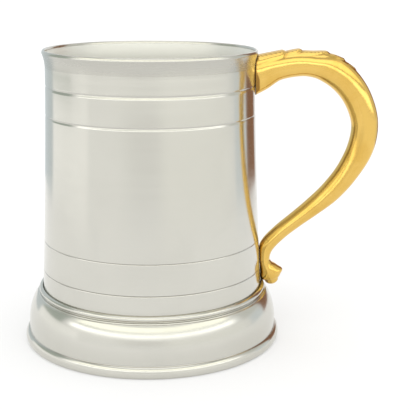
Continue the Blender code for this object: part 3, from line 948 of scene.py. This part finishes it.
def brass(name, finish):
    """Cast, gilt and polished brass: casting waves, hairlines, grime and painted shade in hollows."""
    material, tree, shader, place = new_metal(name)
    lines = use_group(tree, "Hairlines", {"Vector": place, "Density": 180.0, "Lean": 1.1})
    # The hollow mark paints grime and the handle's painted shade in the Grime colour.
    patina = use_group(tree, "Patina", {
        "Vector": place, "Clean": (*finish.brass, 1.0), "Dull": (*finish.brass_dull, 1.0),
        "Grime": (*finish.brass_grime_and_shade, 1.0), "Worn": mark(tree, "worn"),
        "Hollow": mark(tree, "hollow"), "Clouds": 70.0, "Amount": 0.42, "In hollows": 0.80})
    noise = add(tree, "ShaderNodeTexNoise", {"Vector": place, "Scale": 190.0, "Detail": 3.0})
    waves = noise.outputs["Fac"]
    normal = bump_chain(tree, (waves, CASTING_DEPTH), (lines["Height"], BRASS_SCRATCH_DEPTH))
    finish_metal(tree, shader, patina["Colour"], normal, finish.brass_roughness,
                 (waves, 0.05), (lines["Mask"], 0.06), (patina["Mask"], 0.14))
    return material


def solder(name, finish):
    """Soft solder: dull, grey, and rippled where it froze."""
    material, tree, shader, place = new_metal(name)
    patina = use_group(tree, "Patina", {
        "Vector": place, "Clean": (*finish.solder, 1.0), "Dull": (*finish.pewter_dull, 1.0),
        "Clouds": 400.0, "Amount": 0.6, "In hollows": 0.0})
    noise = add(tree, "ShaderNodeTexNoise", {"Vector": place, "Scale": 1400.0, "Detail": 3.0})
    ripples = noise.outputs["Fac"]
    finish_metal(tree, shader, patina["Colour"], bump_chain(tree, (ripples, RIPPLE_DEPTH)),
                 SOLDER_ROUGHNESS, (ripples, 0.2))
    return material


def place_piece(thing, material, slot, *nodes):
    """Finish a piece: its material, the body it rides on, and what it replaces. The slot is not used.
    """
    thing.data.materials.append(material)
    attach(thing, BODY)
    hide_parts(*nodes)


# --- Operators --------------------------------------------------------------------------------
class TANKARD_OT_barrel(bpy.types.Operator):
    """Build the spun barrel with its flared lip and turned lines"""
    bl_idname = "tankard.barrel"
    bl_label = "Barrel"

    def execute(self, context):
        settings = context.scene.tankard
        profile, marks = barrel_profile(settings.barrel)
        thing = lathe("barrel_spun", profile, **marks)
        metal = pewter("barrel_pewter", settings.finish, rings=2600.0, inside=0.28)
        place_piece(thing, metal, "pewter", "barrel")
        return {"FINISHED"}


FLOOR_GRIME_WIDTH = 0.003    # ring of grime where the floor meets the barrel


class TANKARD_OT_floor_disc(bpy.types.Operator):
    """Build the floor disc let into the barrel"""
    bl_idname = "tankard.floor_disc"
    bl_label = "Floor Disc"

    def execute(self, context):
        settings = context.scene.tankard
        wall = settings.barrel.wall
        shoulder = wall / 2
        top = FLOOR_HEIGHT
        under = top - wall
        inside = FLOOR_RADIUS - wall
        upper = np.stack([np.linspace(0.0, FLOOR_RADIUS - shoulder, 40), np.full(40, top)], -1)
        turn_down = arc((FLOOR_RADIUS - shoulder, top - shoulder), shoulder, shoulder,
                        math.pi / 2, 0.0, 8)[1:]
        flange = rows([(FLOOR_RADIUS, top - FLANGE_DEPTH), (inside, top - FLANGE_DEPTH)])
        lower = np.stack([np.linspace(inside, 0.0, 20), np.full(20, under)], -1)
        profile = rows(upper, turn_down, flange, lower)
        hollow = smooth_step(FLOOR_RADIUS - FLOOR_GRIME_WIDTH, FLOOR_RADIUS, profile[:, 0])
        thing = lathe("floor_spun", profile, closed=False, hollow=hollow)
        metal = pewter("floor_pewter", settings.finish, rings=1500.0, rougher=0.11)
        place_piece(thing, metal, "pewter", "floor_disc")
        return {"FINISHED"}


class TANKARD_OT_foot(bpy.types.Operator):
    """Build the hollow spun foot with its swell and rolled rim"""
    bl_idname = "tankard.foot"
    bl_label = "Foot"

    def execute(self, context):
        settings = context.scene.tankard
        profile, marks = foot_profile(settings.foot, settings.barrel.wall)
        thing = lathe("foot_spun", profile, **marks)
        metal = pewter("foot_pewter", settings.finish, rings=2200.0, inside=0.15)
        place_piece(thing, metal, "pewter", "foot")
        return {"FINISHED"}


WIRE_TURN = -1.0             # angle at which the wire's round side ends, in radians
WIRE_TUCK = 0.0001           # the wire's toe stops this far inside its widest place
WIRE_GRIME = 0.05            # grime where the wire meets the barrel
WIRE_GRIME_WIDTH = 0.0004
WIRE_TOE_GRIME = 0.35        # grime where it meets the foot


class TANKARD_OT_seam_bead(bpy.types.Operator):
    """Build the half-round wire that hides the seam between barrel and foot"""
    bl_idname = "tankard.seam_bead"
    bl_label = "Seam Bead"

    def execute(self, context):
        settings = context.scene.tankard
        inner = BASE_RADIUS + CLEARANCE
        centre = (inner, SEAT_HEIGHT - BEAD_HEIGHT / 2)
        half = arc(centre, BEAD_RADIUS - inner, BEAD_HEIGHT / 2, math.pi / 2, WIRE_TURN, 27)
        foot_edge = np.array([[BEAD_RADIUS - WIRE_TUCK, FOOT_TOP + SNUG]])
        profile = rows(half, cove(half[-1:], foot_edge, 9), (inner, FOOT_TOP + SNUG))
        hollow = WIRE_GRIME * (1.0 - smooth_step(inner, inner + WIRE_GRIME_WIDTH, profile[:, 0]))
        hollow[len(half):] = WIRE_TOE_GRIME
        thing = lathe("seam_wire", profile, hollow=hollow)
        metal = pewter("wire_pewter", settings.finish, rings=1800.0, rougher=-0.02)
        place_piece(thing, metal, "pewter", "seam_bead")
        return {"FINISHED"}


class TANKARD_OT_handle(bpy.types.Operator):
    """Build the cast handle with the leaf on its back"""
    bl_idname = "tankard.handle"
    bl_label = "Handle"

    def execute(self, context):
        settings = context.scene.tankard
        points, hollow = handle_points(settings.handle, settings.barrel)
        thing = skin("handle_cast", points, False, hollow=hollow)
        place_piece(thing, brass("handle_brass", settings.finish), "brass", "handle")
        return {"FINISHED"}


class TANKARD_OT_solder(bpy.types.Operator):
    """Build the solder under the handle and in the two seams inside the foot"""
    bl_idname = "tankard.solder"
    bl_label = "Solder"

    def execute(self, context):
        settings = context.scene.tankard
        metal = solder("soft_solder", settings.finish)
        for node in ("upper_handle_solder", "lower_handle_solder"):
            thing = skin(node + "_pad", pad_points(settings.barrel, node), False)
            place_piece(thing, metal, "solder", node)
        for node, side in (("floor_seam_solder", -1.0), ("foot_seam_solder", 1.0)):
            low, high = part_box(node)
            leg = high.z - low.z
            radius = FLOOR_RADIUS if side < 0 else BASE_RADIUS + CLEARANCE
            profile = fillet_profile((radius, high.z), (side * leg, -leg))
            if side < 0:
                profile = profile[::-1]
            thing = lathe(node + "_ring", profile, steps=FINE_STEPS)
            place_piece(thing, metal, "solder", node)
        return {"FINISHED"}


# --- Studio -----------------------------------------------------------------------------------
CAMERA_DISTANCE = 0.4090     # in front of the tankard's axis
CAMERA_HEIGHT = 0.1551
CAMERA_PITCH = math.radians(13.640)   # looking down
CAMERA_YAW = math.radians(3.101)      # turned towards the handle
CAMERA_ROLL = math.radians(0.22)


def make_camera(lens):
    """Put the camera in front of the tankard, a little above its lip."""
    camera = bpy.data.cameras.new("Camera")
    camera.lens = lens
    camera.sensor_width = 36.0
    camera.clip_start = 0.01
    camera.clip_end = 50.0
    eye = bpy.data.objects.new("Camera", camera)
    bpy.context.scene.collection.objects.link(eye)
    turn = (Matrix.Rotation(-CAMERA_YAW, 4, "Z")
            @ Matrix.Rotation(math.pi / 2 - CAMERA_PITCH, 4, "X")
            @ Matrix.Rotation(CAMERA_ROLL, 4, "Z"))
    eye.matrix_world = Matrix.Translation((AXIS[0], AXIS[1] - CAMERA_DISTANCE,
                                           CAMERA_HEIGHT)) @ turn
    bpy.context.scene.camera = eye


FLOOR_SPAN = 12.0            # from the middle of the floor to its sides
FLOOR_CELLS = 24


def make_floor(colour, glow):
    """A large plain floor, a pale sheet lit a little from below."""
    side = np.linspace(-FLOOR_SPAN, FLOOR_SPAN, FLOOR_CELLS + 1)
    across, along = np.meshgrid(side, side, indexing="ij")
    points = np.stack([across, along, np.zeros_like(across)], -1).reshape(-1, 3)
    row, column = np.meshgrid(np.arange(FLOOR_CELLS), np.arange(FLOOR_CELLS), indexing="ij")
    corner = row * (FLOOR_CELLS + 1) + column
    after = corner + FLOOR_CELLS + 1
    faces = np.stack([corner, after, after + 1, corner + 1], -1).reshape(-1, 4)
    mesh = bpy.data.meshes.new("studio_floor")
    mesh.from_pydata(points, [], faces)
    floor = bpy.data.objects.new("studio_floor", mesh)
    bpy.context.scene.collection.objects.link(floor)
    material = bpy.data.materials.new("studio_floor")
    material.use_nodes = True
    tree = material.node_tree
    feed(tree, tree.nodes["Principled BSDF"], {
        "Base Color": (*colour, 1.0), "Roughness": 0.9, "Specular IOR Level": 0.1,
        "Emission Color": (1.0, 1.0, 1.0, 1.0), "Emission Strength": glow})
    mesh.materials.append(material)


# Panels of the tent: colour and brightness, the bearings between which each hangs, in degrees
# from the camera's side towards the handle's, how soft those edges are, and its lower and upper
# edge. A later panel hangs in front of an earlier one.
TENT_RADIUS = 0.345
TENT_FOOT, TENT_TOP = 0.002, 0.75
TENT_SOFT = 0.014            # how soft a panel's lower and upper edges are
PANELS = (
    ((1.00, 1.00, 0.98), 0.92, (-80.0, 80.0), 10.0, (0.030, 0.112)),
    ((1.00, 1.00, 0.99), 2.10, (-80.0, 80.0), 10.0, (0.109, 0.174)),
    ((0.97, 1.00, 0.93), 0.72, (-80.0, 80.0), 10.0, (0.174, 0.210)),
    ((1.00, 1.00, 0.90), 1.75, (-80.0, 80.0), 10.0, (0.208, 0.400)),
    ((0.98, 1.00, 0.95), 0.72, (-200.0, 200.0), 5.0, (0.460, 1.000)),
    ((0.90, 1.00, 0.92), 0.55, (-140.0, -88.0), 8.0, (0.085, 0.360)),
    ((0.98, 1.00, 0.96), 0.78, (88.0, 140.0), 8.0, (0.085, 0.360)),
    ((1.00, 1.00, 0.99), 1.07, (-80.0, -25.0), 30.0, (-1.000, 0.080)),
    ((1.00, 1.00, 0.97), 1.07, (10.0, 90.0), 20.0, (-1.000, 0.080)),
    ((1.00, 1.00, 0.99), 1.22, (-124.0, -66.0), 5.0, (-1.000, 0.080)),
    ((0.88, 0.96, 1.00), 0.80, (-200.0, -124.0), 5.0, (-1.000, 0.300)),
    ((0.90, 0.96, 1.00), 0.92, (96.0, 118.0), 5.0, (-1.000, 0.080)),
    ((1.00, 0.50, 0.28), 0.30, (119.0, 146.0), 5.0, (-1.000, 0.350)),
)


def soft_band(tree, value, edges, soft):
    """1 between two edges and 0 outside, with each edge soft over a given width."""
    rise = ramp(tree, value, edges[0] - soft / 2, edges[0] + soft / 2)
    fall = ramp(tree, value, edges[1] - soft / 2, edges[1] + soft / 2)
    return maths(tree, "SUBTRACT", rise, fall, clamp=True)


def tent_material():
    """Light of the tent's wall, painted by bearing and height."""
    material = bpy.data.materials.new("studio_tent")
    material.use_nodes = True
    tree = material.node_tree
    tree.nodes.remove(tree.nodes["Principled BSDF"])
    place = add(tree, "ShaderNodeTexCoord").outputs["Object"]
    way = add(tree, "ShaderNodeMapping", {"Vector": place, "Location": (-AXIS[0], -AXIS[1], 0)})
    part = add(tree, "ShaderNodeSeparateXYZ", {0: way.outputs[0]})
    toward = maths(tree, "MULTIPLY", part.outputs[1], -1.0)
    bearing = maths(tree, "DEGREES", maths(tree, "ARCTAN2", part.outputs[0], toward))
    light = (1.0, 1.0, 1.0, 1.0)
    for colour, level, bearings, soft, heights in PANELS:
        shown = maths(tree, "MULTIPLY", soft_band(tree, bearing, bearings, soft),
                      soft_band(tree, part.outputs[2], heights, TENT_SOFT))
        lit = [channel * level for channel in colour]
        light = blend(tree, shown, light, (*lit, 1.0))
    glow = add(tree, "ShaderNodeEmission", {"Color": light, "Strength": 1.0})
    feed(tree, tree.nodes["Material Output"], {"Surface": glow.outputs[0]})
    return material


def make_tent():
    """The round wall of the light tent, which only polished metal mirrors."""
    bearing = np.linspace(0.0, 2 * math.pi, 97)[:-1]
    height = np.linspace(TENT_FOOT, TENT_TOP, 9)[:, None]
    points = np.stack(np.broadcast_arrays(AXIS[0] + TENT_RADIUS * np.cos(bearing),
                                          AXIS[1] + TENT_RADIUS * np.sin(bearing), height), -1)
    tent = skin("studio_tent", points, False)
    tent.data.materials.append(tent_material())
    tent.visible_camera = False
    tent.visible_diffuse = False
    tent.visible_shadow = False
    tent.visible_transmission = False


DOME_LEVEL = 0.80            # brightness at the horizon
DOME_OVERHEAD = 0.65         # what it gains overhead
DOME_FRONT = 0.35            # what it gains in front
FRONT_WAY = (0.0, -0.90, 0.44)


def make_dome(strength):
    """A soft studio dome: even at the horizon, brighter overhead and in front."""
    world = bpy.data.worlds.new("studio_dome")
    bpy.context.scene.world = world
    world.use_nodes = True
    tree = world.node_tree
    way = add(tree, "ShaderNodeTexCoord").outputs["Generated"]
    axes = add(tree, "ShaderNodeSeparateXYZ", {0: way})
    high = ramp(tree, axes.outputs[2], 0.0, 0.8)
    front = add(tree, "ShaderNodeVectorMath", {0: way, 1: FRONT_WAY},
                operation="DOT_PRODUCT").outputs["Value"]
    front = ramp(tree, front, 0.1, 1.0)
    glow = maths(tree, "MULTIPLY_ADD", high, DOME_OVERHEAD, DOME_LEVEL)
    glow = maths(tree, "MULTIPLY_ADD", front, DOME_FRONT, glow)
    path = add(tree, "ShaderNodeLightPath")
    seen = add(tree, "ShaderNodeMix", {"Factor": path.outputs["Is Camera Ray"],
                                       "A": glow, "B": 1.0})
    level = maths(tree, "MULTIPLY", seen.outputs[0], strength)
    feed(tree, tree.nodes["Background"], {"Strength": level, "Color": (1.0, 1.0, 1.0, 1.0)})


class TANKARD_OT_stage(bpy.types.Operator):
    """Set up the camera, the floor and the soft studio light"""
    bl_idname = "tankard.stage"
    bl_label = "Studio"

    def execute(self, context):
        look = context.scene.tankard.stage
        make_camera(look.lens)
        make_floor(look.floor, look.floor_glow)
        make_dome(look.dome)
        make_tent()
        context.scene.view_settings.view_transform = "Standard"
        return {"FINISHED"}


class TANKARD_PT_panel(bpy.types.Panel):
    """The tankard's pieces and settings"""
    bl_label = "Pewter Tankard"
    bl_idname = "TANKARD_PT_panel"
    bl_space_type = "VIEW_3D"
    bl_region_type = "UI"
    bl_category = "Tankard"

    def draw(self, context):
        settings = context.scene.tankard
        for title in ("barrel", "foot", "handle", "finish", "stage"):
            box = self.layout.box()
            box.label(text=title.title())
            group = getattr(settings, title)
            for field in group.__annotations__:
                box.prop(group, field)
        for operator in OPERATORS:
            self.layout.operator(operator.bl_idname)


OPERATORS = (TANKARD_OT_barrel, TANKARD_OT_floor_disc, TANKARD_OT_foot, TANKARD_OT_seam_bead,
             TANKARD_OT_handle, TANKARD_OT_solder, TANKARD_OT_stage)
CLASSES = (BarrelSizes, FootSizes, HandleSizes, FinishColours, StageLook, TankardSettings,
           *OPERATORS, TANKARD_PT_panel)


def register():
    """Register the classes and the settings."""
    for item in CLASSES:
        bpy.utils.register_class(item)
    bpy.types.Scene.tankard = PointerProperty(type=TankardSettings)


def unregister():
    """Remove the settings and the classes."""
    del bpy.types.Scene.tankard
    for item in reversed(CLASSES):
        bpy.utils.unregister_class(item)


def main():
    """Build every piece and the studio."""
    register()
    bpy.ops.tankard.barrel()
    bpy.ops.tankard.floor_disc()
    bpy.ops.tankard.foot()
    bpy.ops.tankard.seam_bead()
    bpy.ops.tankard.handle()
    bpy.ops.tankard.solder()
    bpy.ops.tankard.stage()


if __name__ == "__main__":
    main()
